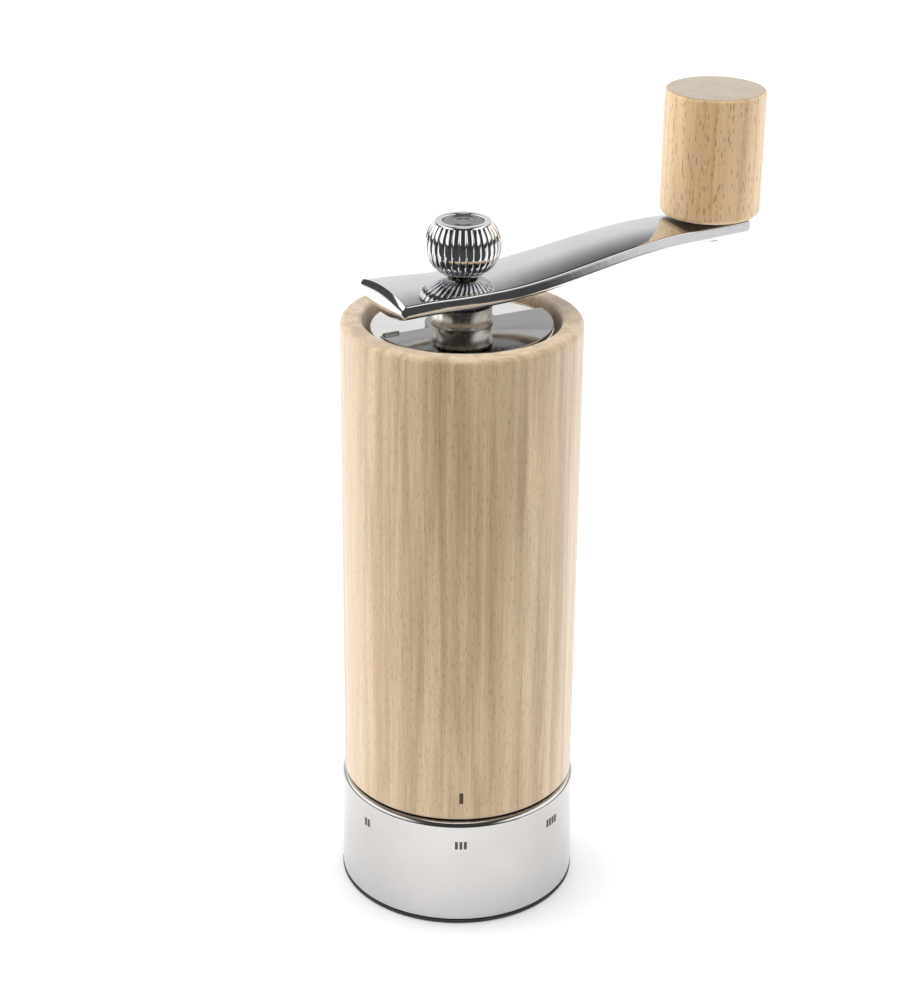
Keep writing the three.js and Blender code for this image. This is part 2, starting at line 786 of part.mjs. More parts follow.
const crank = new THREE.Group();
crank.add(piece("drive_shaft", makeShaft(), zinc));
crank.add(piece("rotor_burr", makeRotor(), burrSteel));
crank.add(piece("burr_spring", makeBurrSpring(), burrSteel));
crank.add(piece("spring_seat", makeSpringSeat(), zinc));
crank.add(piece("shaft_clip", makeShaftClip(), burrSteel));
crank.add(piece("hub_spool", makeHub(), satinNickel));
crank.add(piece("crank_arm", makeArm(), chrome));

const finial = new THREE.Group();
finial.add(piece("finial_ball", makeBall(), chrome));
finial.add(piece("finial_insert", makeInsert(), brass));
finial.add(piece("finial_badge", makeBadge(), satinNickel));
crank.add(finial);

const knob = new THREE.Group();
knob.add(piece("crank_knob", makeKnob(), beech));
knob.add(piece("knob_bush", makeKnobBush(), brass));
knob.add(piece("knob_washer", makeKnobWasher(), burrSteel));
knob.add(piece("knob_spindle", makeSpindle(), zinc));
knob.add(piece("knob_clip", makeKnobClip(), burrSteel));
knob.position.x = KNOB_AT;
crank.add(knob);
crank.rotation.z = CRANK_AZIMUTH;
mill.add(crank);

export default mill;
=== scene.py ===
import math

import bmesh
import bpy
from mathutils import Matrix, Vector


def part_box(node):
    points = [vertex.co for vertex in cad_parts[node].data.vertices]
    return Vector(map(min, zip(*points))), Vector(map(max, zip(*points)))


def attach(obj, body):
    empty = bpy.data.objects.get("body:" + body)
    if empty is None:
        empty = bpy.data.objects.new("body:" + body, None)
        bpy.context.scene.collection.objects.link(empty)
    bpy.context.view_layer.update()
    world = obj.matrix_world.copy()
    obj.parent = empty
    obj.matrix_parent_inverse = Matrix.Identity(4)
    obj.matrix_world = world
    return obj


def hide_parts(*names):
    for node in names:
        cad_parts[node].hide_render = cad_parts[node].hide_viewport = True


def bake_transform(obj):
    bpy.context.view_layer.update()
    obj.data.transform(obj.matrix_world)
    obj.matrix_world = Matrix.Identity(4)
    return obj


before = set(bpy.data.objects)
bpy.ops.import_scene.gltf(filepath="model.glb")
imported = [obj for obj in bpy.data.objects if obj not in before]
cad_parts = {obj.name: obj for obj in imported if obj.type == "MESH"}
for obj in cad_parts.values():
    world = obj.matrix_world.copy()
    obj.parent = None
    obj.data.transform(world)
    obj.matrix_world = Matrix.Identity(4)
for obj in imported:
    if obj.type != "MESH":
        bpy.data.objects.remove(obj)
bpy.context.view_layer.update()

# Looks of a manual burr coffee mill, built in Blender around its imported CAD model.
#
# The frame is the CAD model's: metres, +Z up, the origin on the mill's axis on the floor, and the
# body's pointer mark facing -Y. Outlines are closed lists of (radius, height, rounding) corners that
# run up their outside, in metres.

MM = 0.001

# ---- Camera ----

CAMERA_AT = Vector((0, -0.53473, 0.35143))
CAMERA_YAW = 0.0008
CAMERA_PITCH = 0.4284
CAMERA_ROLL = 0.0108
CAMERA_LENS = 83.52  # mm, on a 36 mm sensor along the picture's long side
SENSOR = 36


def make_camera():
    data = bpy.data.cameras.new("camera")
    data.sensor_width = SENSOR
    data.lens = CAMERA_LENS
    data.clip_start = 0.01
    camera = bpy.data.objects.new("camera", data)
    bpy.context.scene.collection.objects.link(camera)
    level = Matrix.Rotation(math.pi / 2 - CAMERA_PITCH, 3, "X")
    turn = Matrix.Rotation(-CAMERA_YAW, 3, "Z") @ level @ Matrix.Rotation(CAMERA_ROLL, 3, "Z")
    camera.matrix_world = Matrix.Translation(CAMERA_AT) @ turn.to_4x4()
    bpy.context.scene.camera = camera


# ---- Node helpers ----


def tone(red, green, blue):
    """A linear colour from an 8-bit sRGB one."""
    linear = [((c / 255 + 0.055) / 1.055) ** 2.4 for c in (red, green, blue)]
    return (*linear, 1)


class Nodes:
    """Short ways to add and join the nodes of a material or world."""

    def __init__(self, tree):
        self.tree = tree

    def feed(self, socket, value):
        if isinstance(value, bpy.types.NodeSocket):
            self.tree.links.new(value, socket)
        else:
            socket.default_value = value

    def add(self, kind, inputs, **settings):
        """A node with its settings and inputs; inputs go by name or by place."""
        node = self.tree.nodes.new("ShaderNode" + kind)
        for key, value in settings.items():
            setattr(node, key, value)
        for key, value in inputs.items():
            self.feed(node.inputs[key], value)
        return node

    def math(self, operation, a, b=0.0, c=0.0):
        return self.add("Math", {0: a, 1: b, 2: c}, operation=operation).outputs[0]

    def ramp(self, value, start, end, low=0.0, high=1.0):
        """Goes smoothly from low to high as value goes from start to end."""
        inputs = {"Value": value, "From Min": start, "From Max": end, "To Min": low, "To Max": high}
        return self.add("MapRange", inputs, interpolation_type="SMOOTHSTEP").outputs[0]

    def mix(self, factor, a, b, blend="MIX"):
        inputs = {0: factor, 6: a, 7: b}
        return self.add("Mix", inputs, data_type="RGBA", blend_type=blend).outputs[2]

    def mix_values(self, factor, a, b):
        return self.add("Mix", {0: factor, 2: a, 3: b}, data_type="FLOAT").outputs[0]

    def scaled(self, vector, x, y, z):
        inputs = {0: vector, 1: (x, y, z)}
        return self.add("VectorMath", inputs, operation="MULTIPLY").outputs[0]

    def noise(self, vector, detail=2.0, roughness=0.5, distortion=0.0):
        inputs = {
            "Vector": vector,
            "Scale": 1.0,
            "Detail": detail,
            "Roughness": roughness,
            "Distortion": distortion,
        }
        return self.add("TexNoise", inputs).outputs[0]

    def cells(self, vector):
        return self.add("TexVoronoi", {"Vector": vector, "Scale": 1.0})

    def bump(self, height, strength, distance):
        inputs = {"Height": height, "Strength": strength, "Distance": distance}
        return self.add("Bump", inputs).outputs[0]


class Finish(Nodes):
    """A surface material. Its place socket is the object's own coordinates in millimetres."""

    def __init__(self, name, **surface):
        self.material = bpy.data.materials.new(name)
        self.material.use_nodes = True
        super().__init__(self.material.node_tree)
        self.shader = self.tree.nodes["Principled BSDF"]
        coordinates = self.add("TexCoord", {}).outputs["Object"]
        self.place = self.scaled(coordinates, 1 / MM, 1 / MM, 1 / MM)
        for key, value in surface.items():
            self.set(key.replace("_", " ").title(), value)

    def set(self, name, value):
        self.feed(self.shader.inputs[name], value)


# ---- Light and floor ----

FLOOR_SIZE = 6
FLOOR_FRONT = -0.13  # the paper ends here, so that polished fronts mirror the dark part of the sky

# Strengths of the sky, as matt surfaces see it and as mirrors do.
SOFT_LEFT = 1.8
SOFT_RIGHT = 1.1
SOFT_BACK = 1.0
SOFT_FRONT = 0.3
SOFT_TOP = 0.9
LAMP = 1.5
WALL = 0.88
DARK = 0.08
DARK_FRONT = 0.05
TABLE_BACK = 0.95
TABLE_RIGHT = 0.85
TABLE_DARK = 0.07


def soft_light(nodes, front, axes):
    """What shades matt surfaces: bright sides, a paler back and top, and a dim front."""
    left = nodes.ramp(axes["X"], -0.35, -0.9, 0.0, SOFT_LEFT)
    right = nodes.ramp(axes["X"], 0.35, 0.9, 0.0, SOFT_RIGHT)
    sides = nodes.math("ADD", left, right)
    rest = nodes.ramp(front, 0.0, 1.0, SOFT_BACK, SOFT_FRONT)
    above = nodes.ramp(axes["Z"], 0.55, 0.95, 0.0, SOFT_TOP)
    return nodes.math("ADD", nodes.math("ADD", sides, rest), above)


def mirrored_light(nodes, front, axes):
    """What shows in glossy surfaces: a grey wall behind, side boxes, a lamp overhead, else dark."""
    height = axes["Z"]
    wall = nodes.ramp(height, 0.42, 0.9, WALL, DARK)
    upper = nodes.mix_values(front, wall, DARK_FRONT)
    aside = nodes.ramp(nodes.math("ABSOLUTE", axes["X"]), 0.5, 0.72)
    box = nodes.math("MULTIPLY", nodes.ramp(height, 0.2, 0.28), nodes.ramp(height, 0.8, 0.7))
    side = nodes.ramp(box, 0.0, 1.0, DARK, LAMP)
    upper = nodes.mix_values(aside, upper, side)
    upper = nodes.mix_values(nodes.ramp(height, 0.955, 0.975), upper, LAMP)
    table_front = nodes.ramp(axes["X"], 0.85, 0.875, TABLE_DARK, TABLE_RIGHT)
    lower = nodes.mix_values(front, TABLE_BACK, table_front)
    return nodes.mix_values(nodes.ramp(height, 0.01, -0.02), upper, lower)


def make_light():
    """A studio drawn on the sky; the camera itself sees plain white beyond the floor."""
    world = bpy.data.worlds.new("studio")
    world.use_nodes = True
    nodes = Nodes(world.node_tree)
    direction = nodes.add("TexCoord", {}).outputs["Generated"]
    axes = nodes.add("SeparateXYZ", {0: direction}).outputs
    front = nodes.ramp(axes["Y"], 0.1, -0.3)
    path = nodes.add("LightPath", {}).outputs
    soft = soft_light(nodes, front, axes)
    mirrored = mirrored_light(nodes, front, axes)
    level = nodes.mix_values(path["Is Glossy Ray"], soft, mirrored)
    level = nodes.mix_values(path["Is Camera Ray"], level, 1.0)
    nodes.feed(world.node_tree.nodes["Background"].inputs["Strength"], level)
    nodes.feed(world.node_tree.nodes["Background"].inputs["Color"], (1, 1, 1, 1))
    bpy.context.scene.world = world
    bpy.context.scene.view_settings.view_transform = "Standard"


def make_floor():
    half = FLOOR_SIZE / 2
    mesh = bpy.data.meshes.new("floor")
    corners = [(-half, FLOOR_FRONT, 0), (half, FLOOR_FRONT, 0), (half, half, 0), (-half, half, 0)]
    mesh.from_pydata(corners, [], [(0, 1, 2, 3)])
    floor = bpy.data.objects.new("floor", mesh)
    bpy.context.scene.collection.objects.link(floor)
    paper = Finish("paper", roughness=0.9)
    fibre = paper.noise(paper.scaled(paper.place, 0.02, 0.02, 0.02))
    paper.set("Base Color", paper.mix(fibre, tone(250, 250, 251), tone(247, 247, 248)))
    paper.set("Specular IOR Level", 0.1)
    mesh.materials.append(paper.material)


# ---- Materials ----

METAL = 1.0
NOT_METAL = 0.0
LATHE_LINE = 0.25  # millimetres, the height of a lathe line
LATHE_DEPTH = 0.02 * MM


def beech(name, pale, dark, fleck, pith, size, strength, end):
    """Sanded beech: growth rings round an upright pith line, soft streaks and short dark ray flecks.

    size is a fleck's width in millimetres, and end is how much of its lightness an upward face keeps:
    partly the end grain's own darker tone, partly painted shade on the tops.
    """
    wood = Finish(name)
    across = wood.noise(wood.scaled(wood.place, 0.11, 0.11, 0.006), detail=3)
    from_pith = wood.add("VectorMath", {0: wood.place, 1: (*pith, 0)}, operation="SUBTRACT").outputs[0]
    flat = wood.scaled(from_pith, 1, 1, 0.02)
    distance = wood.add("VectorMath", {0: flat}, operation="LENGTH").outputs[1]
    wavy = wood.math("MULTIPLY_ADD", across, 14.0, distance)
    year = wood.math("FRACT", wood.math("MULTIPLY", wavy, 1 / 3.4))
    late_wood = wood.math("MULTIPLY", wood.ramp(year, 0.2, 0.85), wood.ramp(year, 1.0, 0.88))
    bands = wood.noise(wood.scaled(wood.place, 0.3, 0.3, 0.009), detail=3, distortion=0.8)
    streaks = wood.noise(wood.scaled(wood.place, 2.3, 2.3, 0.05), detail=4, roughness=0.65)
    fibres = wood.noise(wood.scaled(wood.place, 6.0, 6.0, 0.22), detail=3, roughness=0.7)
    shade = wood.math("MULTIPLY_ADD", late_wood, 0.1, wood.ramp(streaks, 0.3, 0.7, -0.08, 0.2))
    shade = wood.math("MULTIPLY_ADD", wood.ramp(bands, 0.32, 0.68), 0.55, shade)
    shade = wood.math("MULTIPLY_ADD", wood.ramp(fibres, 0.3, 0.75), 0.12, shade)
    body = wood.mix(shade, pale, dark)
    rosy = wood.noise(wood.scaled(wood.place, 0.16, 0.16, 0.02), detail=2)
    body = wood.mix(wood.ramp(rosy, 0.5, 0.75, 0.0, 0.2), body, tone(214, 172, 142))
    cells = wood.cells(wood.scaled(wood.place, 0.5 / size, 0.5 / size, 0.08 / size))
    chance = wood.add("SeparateColor", {0: cells.outputs["Color"]}).outputs[0]
    reach = wood.ramp(chance, 0.1, 1.0, 0.0, 0.44)
    nearness = wood.math("SUBTRACT", reach, cells.outputs["Distance"])
    ray = wood.math("MULTIPLY", wood.ramp(nearness, 0.0, 0.07), strength)
    facing = wood.add("TexCoord", {}).outputs["Normal"]
    upright = wood.math("ABSOLUTE", wood.add("SeparateXYZ", {0: facing}).outputs["Z"])
    end_grain_and_painted_shade = wood.ramp(upright, 0.75, 0.95)
    ray = wood.math("MULTIPLY", ray, wood.ramp(end_grain_and_painted_shade, 0.0, 1.0, 1.0, 0.3))
    # Upward faces are darkened by end: partly the end grain's darker tone, partly painted shade that
    # holds down the lit tops.
    body = wood.mix(end_grain_and_painted_shade, body, wood.mix(1.0, body, (end, end, end, 1), blend="MULTIPLY"))
    wood.set("Base Color", wood.mix(ray, body, fleck))
    wood.set("Roughness", wood.ramp(fibres, 0.2, 0.8, 0.4, 0.52))
    wood.set("Normal", wood.bump(fibres, 0.15, 0.03 * MM))
    wood.set("Coat Weight", wood.ramp(end_grain_and_painted_shade, 0.0, 1.0, 0.25, 0.03))
    wood.set("Coat Roughness", 0.35)
    wood.set("Sheen Weight", 0.55)
    wood.set("Sheen Roughness", 0.5)
    return wood.material


def darker(color, share):
    """The colour with this share of its lightness left."""
    return (*(share * c for c in color[:3]), 1)


def plated(name, color, roughness):
    """Bright metal with faint buffing ripple and a little haze."""
    metal = Finish(name, metallic=METAL)
    haze = metal.noise(metal.scaled(metal.place, 0.12, 0.12, 0.12), detail=4, roughness=0.6)
    smears = metal.noise(metal.scaled(metal.place, 0.5, 0.5, 0.1), detail=5, roughness=0.7)
    metal.set("Base Color", metal.mix(metal.ramp(haze, 0.3, 0.7), color, darker(color, 0.93)))
    metal.set("Roughness", metal.ramp(smears, 0.35, 0.75, roughness, roughness * 1.8))
    metal.set("Normal", metal.bump(haze, 0.04, 0.3 * MM))
    return metal.material


def turned_metal(name, color, roughness):
    """Metal finished on a lathe: fine lines round its axis."""
    metal = Finish(name, metallic=METAL)
    lines = metal.noise(metal.scaled(metal.place, 0.04, 0.04, 1 / LATHE_LINE), detail=5, roughness=0.7)
    haze = metal.noise(metal.scaled(metal.place, 0.08, 0.08, 0.08), detail=3)
    tint = metal.mix(metal.ramp(haze, 0.3, 0.7), color, darker(color, 0.94))
    shade = metal.ramp(lines, 0.3, 0.7, 0.0, 0.12)
    metal.set("Base Color", metal.mix(shade, tint, darker(color, 0.8)))
    metal.set("Roughness", metal.ramp(lines, 0.3, 0.7, roughness * 0.8, roughness * 1.25))
    metal.set("Normal", metal.bump(lines, 0.12, LATHE_DEPTH))
    return metal.material


def grained(name, color, roughness, metallic, grain, depth=0.04):
    """Cast, blasted or moulded surface; its grain's size and depth are in millimetres."""
    stuff = Finish(name, metallic=metallic)
    per_grain = stuff.scaled(stuff.place, 1 / grain, 1 / grain, 1 / grain)
    fine = stuff.noise(per_grain, detail=4, roughness=0.6)
    wide = stuff.noise(stuff.scaled(stuff.place, 0.15, 0.15, 0.15), detail=3)
    stuff.set("Base Color", stuff.mix(stuff.ramp(wide, 0.3, 0.7), color, darker(color, 0.75)))
    stuff.set("Roughness", stuff.ramp(fine, 0.25, 0.75, roughness * 0.85, roughness * 1.15))
    stuff.set("Normal", stuff.bump(fine, 0.35, depth * MM))
    return stuff.material


def make_finishes():
    """One material for each slot of the record, and those of the leaf, the badge and the marks."""
    return {
        "body_wood": beech(
            "body_beech", tone(213, 189, 152), tone(158, 129, 95), tone(128, 92, 58),
            pith=(-38, 74), size=0.17, strength=0.36, end=1.0,
        ),
        "knob_wood": beech(
            "knob_beech", tone(228, 196, 147), tone(190, 154, 106), tone(124, 84, 44),
            # end=0.42 darkens the knob's top, partly as end grain and partly as painted shade against
            # the overhead light.
            pith=(30, 66), size=0.2, strength=0.62, end=0.42,
        ),
        "ring_steel": turned_metal("ring_steel_looks", (0.62, 0.608, 0.594, 1), 0.14),
        "polished_steel": plated("polished_steel_looks", (0.84, 0.835, 0.82, 1), 0.06),
        "shutter": plated("shutter_looks", (0.32, 0.312, 0.302, 1), 0.07),
        "crank_chrome": plated("crank_chrome_looks", (0.74, 0.745, 0.755, 1), 0.03),
        "satin_nickel": plated("satin_nickel_looks", (0.88, 0.84, 0.78, 1), 0.2),
        "badge": grained("badge_looks", (0.3, 0.3, 0.305, 1), 0.3, METAL, grain=0.4, depth=0.02),
        "burr_steel": grained("burr_steel_looks", (0.2, 0.2, 0.205, 1), 0.42, METAL, grain=0.3),
        "spring_steel": plated("spring_steel_looks", (0.45, 0.45, 0.46, 1), 0.22),
        "zinc": grained("zinc_looks", (0.55, 0.55, 0.56, 1), 0.38, METAL, grain=0.5),
        "brass": turned_metal("brass_looks", (0.72, 0.52, 0.24, 1), 0.26),
        "black_plastic": grained(
            "black_plastic_looks", (0.012, 0.012, 0.013, 1), 0.5, NOT_METAL, grain=0.3,
        ),
        "foot_rubber": grained("foot_rubber_looks", (0.03, 0.03, 0.032, 1), 0.7, NOT_METAL, grain=0.25),
        "etching": grained("etching_looks", (0.075, 0.07, 0.066, 1), 0.6, NOT_METAL, grain=0.2),
        "burnt_mark": grained("burnt_mark_looks", (0.085, 0.055, 0.03, 1), 0.75, NOT_METAL, grain=0.2),
    }


# ---- Mesh helpers ----

SHARP_ANGLE = math.radians(35)


def rounded(corners, steps=7):
    """The points of a closed outline, with each corner turned into an arc of its own radius."""
    points = []
    for i, (x, y, radius) in enumerate(corners):
        here = Vector((x, y))
        if not radius:
            points.append(here)
            continue
        back = (Vector(corners[i - 1][:2]) - here).normalized()
        onward = (Vector(corners[(i + 1) % len(corners)][:2]) - here).normalized()
        half = back.angle(onward) / 2
        centre = here + (back + onward).normalized() * (radius / math.sin(half))
        reach = radius / math.tan(half)
        first = here + back * reach - centre
        last = here + onward * reach - centre
        start = math.atan2(first.y, first.x)
        turn = (math.atan2(last.y, last.x) - start + math.pi) % math.tau - math.pi
        for k in range(steps + 1):
            angle = start + turn * k / steps
            points.append(centre + radius * Vector((math.cos(angle), math.sin(angle))))
    return points


def finished_object(name, made):
    """An object from a bmesh, smooth but for its sharp edges, with flat faces left flat."""
    bmesh.ops.recalc_face_normals(made, faces=made.faces)
    mesh = bpy.data.meshes.new(name)
    made.to_mesh(mesh)
    made.free()
    mesh.polygons.foreach_set("use_smooth", [True] * len(mesh.polygons))
    mesh.set_sharp_from_angle(angle=SHARP_ANGLE)
    piece = bpy.data.objects.new(name, mesh)
    bpy.context.scene.collection.objects.link(piece)
    weighting = piece.modifiers.new("weighted_normals", "WEIGHTED_NORMAL")
    weighting.keep_sharp = True
    return piece


def bridged(made, rows, closed=True):
    """Faces between each row of vertices and the next; a row of one vertex is a pole."""
    for row, after in zip(rows, rows[1:]):
        count = max(len(row), len(after))
        if count == 1:
            continue
        for k in range(count if closed else count - 1):
            near = [row[k % len(row)], row[(k + 1) % len(row)]]
            far = [after[(k + 1) % len(after)], after[k % len(after)]]
            made.faces.new(list(dict.fromkeys(near + far)))


def lathe(name, corners, axis=(0, 0), segments=128, form=None):
    """Turns an outline about an upright axis.

    form gives a point's new radius from its radius, height and azimuth.
    """
    made = bmesh.new()
    rows = []
    for r, z in rounded(corners):
        count = segments if r > 1e-6 else 1
        row = []
        for k in range(count):
            azimuth = math.tau * k / count
            radius = form(r, z, azimuth) if form else r
            x = axis[0] + radius * math.cos(azimuth)
            y = axis[1] + radius * math.sin(azimuth)
            row.append(made.verts.new((x, y, z)))
        rows.append(row)
    if len(rows[0]) > 1 or len(rows[-1]) > 1:
        rows.append(rows[0])
    bridged(made, rows)
    return finished_object(name, made)


def place(piece, body, slot, finish, *nodes):
    """Gives a piece its material, its body and the CAD nodes that it stands for."""
    piece.data.materials.clear()
    piece.data.materials.append(finish)
    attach(piece, body)
    if nodes:
        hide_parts(*nodes)
    return piece


def span(node):
    """Lowest and highest point of a CAD node, and its largest distance from the mill's axis."""
    low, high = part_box(node)
    reach = max(math.hypot(v.co.x, v.co.y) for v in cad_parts[node].data.vertices)
    return low.z, high.z, reach


# ---- Wooden body and setting ring ----

BORE_R = 24.5 * MM
CHAMBER_R = 23.5 * MM
THROAT_R = 17.8 * MM
MOUTH_DEPTH = 7.5 * MM
SHOULDER_BOTTOM = 41 * MM
SHOULDER_TOP = 47.5 * MM


def make_body(finishes):
    bottom, top, radius = span("wood_body")
    corners = [
        (BORE_R, bottom, 0.3 * MM),
        (radius - 0.8 * MM, bottom, 0.2 * MM),
        (radius, bottom + 0.8 * MM, 0.4 * MM),
        (radius, top, 1.5 * MM),
        (BORE_R, top, 0.9 * MM),
        (BORE_R, top - MOUTH_DEPTH, 0.2 * MM),
        (CHAMBER_R, top - MOUTH_DEPTH, 0.3 * MM),
        (CHAMBER_R, SHOULDER_TOP + 6 * MM, 1 * MM),
        (THROAT_R, SHOULDER_TOP, 0.5 * MM),
        (THROAT_R, SHOULDER_BOTTOM, 0.3 * MM),
        (BORE_R, SHOULDER_BOTTOM, 0.3 * MM),
    ]
    body = lathe("beech_body", corners, segments=192)
    place(body, "mill", "body_wood", finishes["body_wood"], "wood_body")


RING_WALL = 1 * MM
RING_LIP_R = 27.3 * MM
RING_LIP = 0.8 * MM
RING_ROUND = 1.4 * MM
RING_RAISE = 0.75 * MM  # how far its rim stands up round the dark flange
FLANGE_ROOM_R = 29.28 * MM


def make_ring(finishes):
    bottom, top, radius = span("grind_ring")
    rim = top + RING_RAISE
    corners = [
        (radius - RING_WALL, bottom, 0.1 * MM),
        (radius, bottom, 0.15 * MM),
        (radius, rim, RING_ROUND),
        (FLANGE_ROOM_R, rim, 0.02 * MM),
        (FLANGE_ROOM_R, top, 0.02 * MM),
        (RING_LIP_R, top, 0.2 * MM),
        (RING_LIP_R, top - RING_LIP, 0.2 * MM),
        (radius - RING_WALL, top - RING_LIP, 0.4 * MM),
    ]
    ring = lathe("steel_ring", corners, segments=192)
    place(ring, "setting_ring", "ring_steel", finishes["ring_steel"], "grind_ring")


FOOT_INNER_R = 27.8 * MM
FOOT_LIP = 1.4 * MM  # how far the foot reaches out under the ring's wall
FOOT_GAP = 0.3 * MM  # from that lip up to the wall


def make_foot(finishes):
    bottom, top, radius = span("foot_rim")
    ring_bottom, _, _ = span("grind_ring")
    lip = ring_bottom - FOOT_GAP
    corners = [
        (FOOT_INNER_R, bottom, 0.3 * MM),
        (radius, bottom, 0.45 * MM),
        (radius, lip, 0.12 * MM),
        (radius - FOOT_LIP, lip, 0.1 * MM),
        (radius - FOOT_LIP, top, 0.2 * MM),
        (FOOT_INNER_R, top, 0.2 * MM),
    ]
    foot = lathe("rubber_foot", corners, segments=192)
    place(foot, "setting_ring", "foot_rubber", finishes["foot_rubber"], "foot_rim")


# ---- Marks ----

SETTING_AT_REST = 3
SETTINGS = 6
SETTING_STEP = math.tau / 7
MARK_DEPTH = 0.05 * MM
MARK_FACETS = 4  # across one bar
POINTER_SIZE = (1.0 * MM, 3.1 * MM)
BAR_SIZE = (0.73 * MM, 2.2 * MM)
BAR_PITCH = 1.15 * MM
FRONT_AZIMUTH = math.radians(272)  # where the photo has the pointer and the third setting
POINTER_HEIGHT = 6.7 * MM  # above the body's foot
MARK_DROP = 5.8 * MM  # below the ring's top


def make_mark(name, bars, size, azimuth, z, radius):
    """Upright bars on a round wall, as thin shells that follow it."""
    width, height = size
    made = bmesh.new()
    for bar in range(bars):
        middle = azimuth + (bar - (bars - 1) / 2) * BAR_PITCH / radius
        loops = []
        for k in range(MARK_FACETS + 1):
            angle = middle + (k / MARK_FACETS - 0.5) * width / radius
            towards = Vector((math.cos(angle), math.sin(angle), 0))
            loops.append([
                made.verts.new(towards * r + Vector((0, 0, z + dz)))
                for r, dz in (
                    (radius - MARK_DEPTH, -height / 2),
                    (radius + MARK_DEPTH, -height / 2),
                    (radius + MARK_DEPTH, height / 2),
                    (radius - MARK_DEPTH, height / 2),
                )
            ])
        bridged(made, loops)
        made.faces.new(loops[0])
        made.faces.new(loops[-1][::-1])
    return finished_object(name, made)


def make_marks(finishes):
    wood_bottom, _, wood_r = span("wood_body")
    pointer_z = wood_bottom + POINTER_HEIGHT
    pointer = make_mark("pointer_mark", 1, POINTER_SIZE, FRONT_AZIMUTH, pointer_z, wood_r)
    place(pointer, "mill", "body_wood", finishes["burnt_mark"])
    _, ring_top, ring_r = span("grind_ring")
    for setting in range(1, SETTINGS + 1):
        azimuth = FRONT_AZIMUTH + (setting - SETTING_AT_REST) * SETTING_STEP
        name = f"setting_mark_{setting}"
        mark = make_mark(name, setting, BAR_SIZE, azimuth, ring_top - MARK_DROP, ring_r)
        place(mark, "setting_ring", "black_plastic", finishes["etching"])


# ---- Cover, shutter and hub ----

SHEET = 0.8 * MM
CRANK_AZIMUTH = math.radians(28.73)
ALONG_CRANK = Matrix.Rotation(CRANK_AZIMUTH, 4, "Z")
FILL_INNER_R = 9.8 * MM
FILL_OUTER_R = 20.6 * MM
FILL_MARGIN = math.radians(6)
BEARING_R = 6.6 * MM
BEARING_ROOM = 0.3 * MM
SECTOR_STEP = math.radians(2)
COLLAR_R = 9.2 * MM
COVER_R = 22.8 * MM
LEAF_R = 22.45 * MM
TAB_AT = (-19.8 * MM, -0.5 * MM)
TAB_LENGTH = 4.5 * MM
TAB_WIDTH = 0.8 * MM
TAB_FOOT = 155 * MM
TAB_ROUND = 0.45 * MM
TAB_DROP = 0.7 * MM  # how much lower it stands than the CAD's
LEAF_RISE = 1.0 * MM  # its top above the cover's
LEAF_THICKNESS = 0.7 * MM
LEAF_ROUND = 0.24 * MM


def polar(r, azimuth):
    return Vector((r * math.cos(azimuth), r * math.sin(azimuth)))


def sector_plate(name, regions, bottom, top, edge):
    """A flat plate made of ring sectors (inner radius, outer radius, from, to), its edges rounded."""
    made = bmesh.new()
    known = {}

    def corner(r, azimuth):
        key = (round(r * 1e6), round(azimuth * 1e6) % round(math.tau * 1e6))
        if key not in known:
            known[key] = made.verts.new((*polar(r, azimuth), bottom))
        return known[key]

    for inner, outer, start, end in regions:
        count = round((end - start) / SECTOR_STEP)
        for k in range(count):
            a = start + (end - start) * k / count
            b = start + (end - start) * (k + 1) / count
            made.faces.new([corner(inner, a), corner(inner, b), corner(outer, b), corner(outer, a)])
    made.normal_update()
    raised = bmesh.ops.extrude_face_region(made, geom=made.faces[:])
    up = [v for v in raised["geom"] if isinstance(v, bmesh.types.BMVert)]
    bmesh.ops.translate(made, verts=up, vec=(0, 0, top - bottom))
    bmesh.ops.recalc_face_normals(made, faces=made.faces)
    rims = [e for e in made.edges if len(e.link_faces) == 2 and e.calc_face_angle() > 1]
    level = [e for e in rims if abs(e.verts[0].co.z - e.verts[1].co.z) < 1e-7]
    bmesh.ops.bevel(made, geom=level, offset=edge, segments=3, affect="EDGES", profile=0.5)
    return finished_object(name, made)


def make_cover(finishes):
    bottom, top, radius = span("cover_plate")
    corners = [
        (COVER_R - SHEET, bottom, 0.2 * MM),
        (radius, bottom, 0.2 * MM),
        (radius, bottom + SHEET, 0.2 * MM),
        (COVER_R, bottom + SHEET, 0.3 * MM),
        (COVER_R, top, 0.6 * MM),
        (BEARING_R + BEARING_ROOM, top, 0.15 * MM),
        (BEARING_R + BEARING_ROOM, top - SHEET, 0.15 * MM),
        (COVER_R - SHEET, top - SHEET, 0.3 * MM),
    ]
    cover = lathe("steel_cover", corners, segments=180)
    hole = (FILL_INNER_R, FILL_OUTER_R, math.pi + FILL_MARGIN, math.tau - FILL_MARGIN)
    opening = sector_plate("opening", [hole], top - 2 * MM, top + 1 * MM, 0.01 * MM)
    opening.matrix_world = ALONG_CRANK
    carve(cover, opening)
    place(cover, "mill", "polished_steel", finishes["polished_steel"], "cover_plate")


def carve(piece, tool):
    """Cuts the tool out of the piece for good, and removes the tool."""
    cutting = piece.modifiers.new("cut", "BOOLEAN")
    cutting.operation = "DIFFERENCE"
    cutting.solver = "EXACT"
    cutting.object = tool
    piece.modifiers.move(len(piece.modifiers) - 1, 0)
    weighting = piece.modifiers["weighted_normals"]
    weighting.show_viewport = False
    shaped = piece.evaluated_get(bpy.context.evaluated_depsgraph_get())
    piece.data = bpy.data.meshes.new_from_object(shaped)
    piece.modifiers.remove(cutting)
    weighting.show_viewport = True
    bpy.data.objects.remove(tool)


